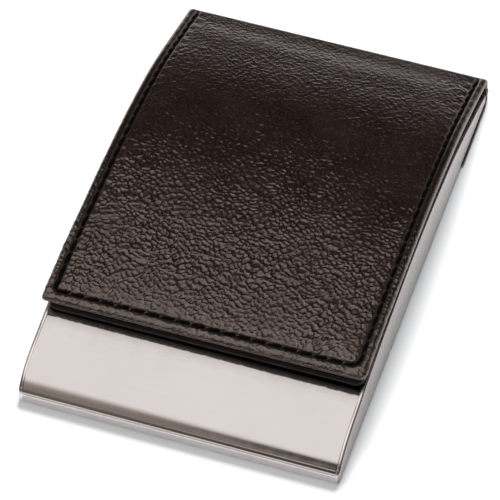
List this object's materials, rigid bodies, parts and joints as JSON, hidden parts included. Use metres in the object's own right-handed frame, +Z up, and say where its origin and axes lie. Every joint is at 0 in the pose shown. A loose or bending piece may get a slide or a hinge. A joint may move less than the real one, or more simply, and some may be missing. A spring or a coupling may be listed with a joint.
{
  "type": "business card case",
  "caption": "Arched steel business card case with a padded, stitched leather flap hinged on a leather spine and held shut by magnets.",
  "frame": {"origin": "bottom centre of the closed case's bounding box", "axes": "+Y from the polished front plate to the leather spine, +Z up, +X to the right seen from the front"},
  "size_m": [0.064, 0.1022, 0.0159],
  "materials": {
    "satin_steel": "fine satin stainless steel",
    "polished_steel": "mirror polished stainless steel",
    "black_plastic": "moulded, fine matt texture",
    "black_felt": "short pile felt",
    "magnet": "nickel plated disc",
    "leather": "pebbled grain, semi gloss, brown black",
    "lining": "fine grain, matt, brown black",
    "foam": "closed cell foam",
    "board": "pressed grey board",
    "tape": "double sided tape",
    "thread": "twisted polyester thread"
  },
  "bodies": {
    "case": {"bottom_tray": "satin_steel", "front_plate": "polished_steel", "card_well": "black_plastic", "well_tape": "tape", "well_felt": "black_felt", "case_magnets": "magnet", "magnet_holder": "black_plastic", "underside_leather": "leather", "underside_board": "board", "underside_tape": "tape"},
    "spine": {"spine_leather": "leather", "spine_board": "board", "spine_lining": "lining"},
    "lid": {"lid_leather": "leather", "lid_foam": "foam", "lid_board": "board", "lid_magnets": "magnet", "lid_lining": "lining", "lid_stitching": "thread"}
  },
  "joints": [
    {"name": "lower_fold", "type": "hinge", "parent": "case", "child": "spine", "pos_m": [0, 0.05082, 0.00043], "axis": [-1, 0, 0], "range_deg": [0, 80]},
    {"name": "upper_fold", "type": "hinge", "parent": "spine", "child": "lid", "pos_m": [0, 0.05025, 0.00562], "axis": [-1, 0, 0], "range_deg": [0, 82]}
  ]
}
